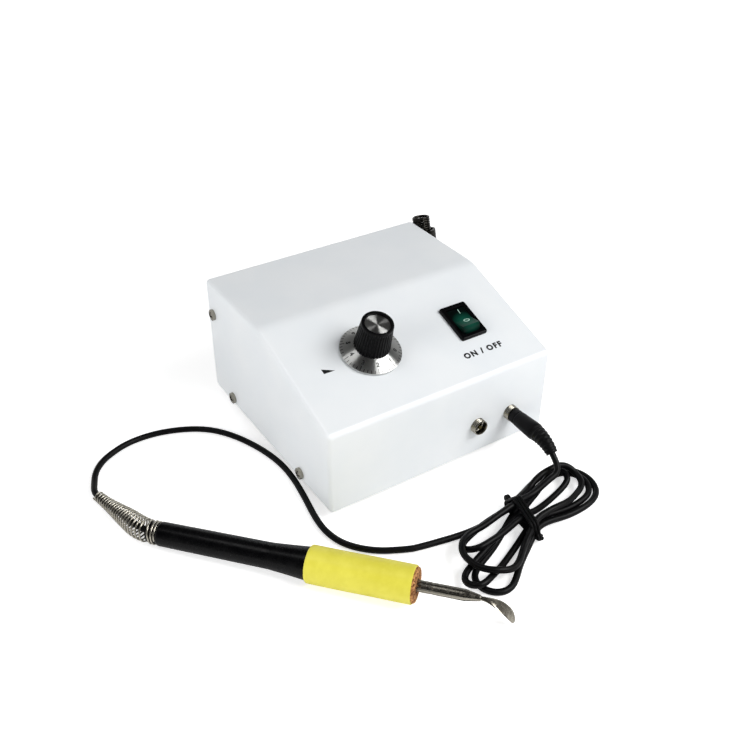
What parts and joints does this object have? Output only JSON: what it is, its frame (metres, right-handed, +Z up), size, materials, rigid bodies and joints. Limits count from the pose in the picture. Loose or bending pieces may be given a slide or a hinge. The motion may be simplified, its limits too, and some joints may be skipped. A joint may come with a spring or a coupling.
{
  "type": "electric wax carving pen",
  "caption": "Desk-top control unit with a sloping panel, a heat dial and a rocker switch, and a heated wax carving pen on a hanked cord.",
  "frame": {"origin": "centre of the base plate's underside; the table top is 5 mm below it", "axes": "+Z up, -Y towards the user (the front panel with the two sockets), +X to the user's right"},
  "size_m": [0.2222, 0.2159, 0.0804],
  "materials": {
    "case_paint": "satin powder coat",
    "zinc_plate": "zinc plated",
    "screw_steel": "nickel plated",
    "foot_rubber": "matt",
    "black_moulding": "matt",
    "gloss_black": "gloss",
    "spun_aluminium": "turned",
    "green_rocker": "translucent gloss",
    "clear_lamp": "clear",
    "brass": "bright",
    "tin": "tinned",
    "yellow_sleeve": "semi gloss",
    "cork": "sealed cork",
    "tube_steel": "heat tinted",
    "tip_steel": "polished",
    "spring_steel": "bright",
    "holder_plate": "nickel plated",
    "cord_sheath": "matt",
    "tie_sheath": "matt",
    "lamination": "varnished",
    "bobbin_nylon": "natural",
    "tape": "gloss tape",
    "board_laminate": "solder mask",
    "ceramic": "ceramic"
  },
  "bodies": {
    "control_unit": {"cover_shell": "case_paint", "base_chassis": "zinc_plate", "side_screws": "screw_steel", "rubber_feet": "foot_rubber", "foot_screws": "screw_steel", "small_nuts": "screw_steel", "potentiometer_body": "zinc_plate", "potentiometer_lugs": "tin", "potentiometer_nut": "screw_steel", "switch_housing": "gloss_black", "switch_lamp": "clear_lamp", "switch_terminals": "brass", "left_jack_barrel": "screw_steel", "right_jack_barrel": "screw_steel", "jack_insulators": "black_moulding", "jack_pins": "brass", "jack_nuts": "screw_steel", "pen_holder_coil": "holder_plate", "pen_holder_clip": "holder_plate", "holder_screw": "screw_steel", "transformer_core": "lamination", "transformer_bobbin": "bobbin_nylon", "transformer_winding": "tape", "transformer_strap": "zinc_plate", "inner_screws": "screw_steel", "circuit_board": "board_laminate", "capacitors": "black_moulding", "heat_sink": "spun_aluminium", "regulator": "black_moulding", "terminal_block": "board_laminate", "mains_inlet": "black_moulding", "inlet_pins": "brass", "inlet_screws": "screw_steel", "fuse_holder": "black_moulding", "fuse_holder_nut": "black_moulding", "fuse_lugs": "tin", "cord_hank": "cord_sheath", "hank_tie": "tie_sheath"},
    "dial": {"potentiometer_shaft": "spun_aluminium", "dial_skirt": "spun_aluminium", "control_knob": "black_moulding", "knob_cap": "spun_aluminium", "knob_grub_screw": "screw_steel"},
    "rocker": {"switch_rocker": "green_rocker"},
    "plug": {"plug_sleeve": "screw_steel", "plug_body": "black_moulding", "plug_strain_relief": "cord_sheath", "cord_plug_run": "cord_sheath"},
    "pen": {"pen_handle": "black_moulding", "pen_grip_sleeve": "yellow_sleeve", "grip_cork": "cork", "heater_tube": "tube_steel", "heater_core": "ceramic", "pen_wires": "cord_sheath", "cable_guard_spring": "spring_steel", "guard_cord": "cord_sheath", "cord_pen_run": "cord_sheath"},
    "tip": {"wax_tip": "tip_steel"},
    "fuse": {"fuse_cap": "black_moulding", "fuse_cartridge": "clear_lamp"}
  },
  "joints": [
    {"name": "dial_turn", "type": "hinge", "parent": "control_unit", "child": "dial", "pos_m": [-0.02, -0.02669, 0.05417], "axis": [0, -0.3171, 0.9484], "range_deg": [-180, 120]},
    {"name": "rocker_tilt", "type": "hinge", "parent": "control_unit", "child": "rocker", "pos_m": [0.032, -0.02798, 0.05205], "axis": [1, 0, 0], "range_deg": [0, 22]},
    {"name": "plug_pull", "type": "slide", "parent": "control_unit", "child": "plug", "axis": [0, -1, 0], "range_m": [0, 0.012], "deforming": ["cord_plug_run"]},
    {"name": "pen_lift", "type": "slide", "parent": "control_unit", "child": "pen", "axis": [0, 0, 1], "range_m": [0, 0.07], "deforming": ["cord_pen_run"]},
    {"name": "tip_pull", "type": "slide", "parent": "pen", "child": "tip", "axis": [0.6449, -0.7632, 0.0399], "range_m": [0, 0.014]},
    {"name": "fuse_cap_pull", "type": "slide", "parent": "control_unit", "child": "fuse", "axis": [0, 1, 0], "range_m": [0, 0.026]}
  ]
}
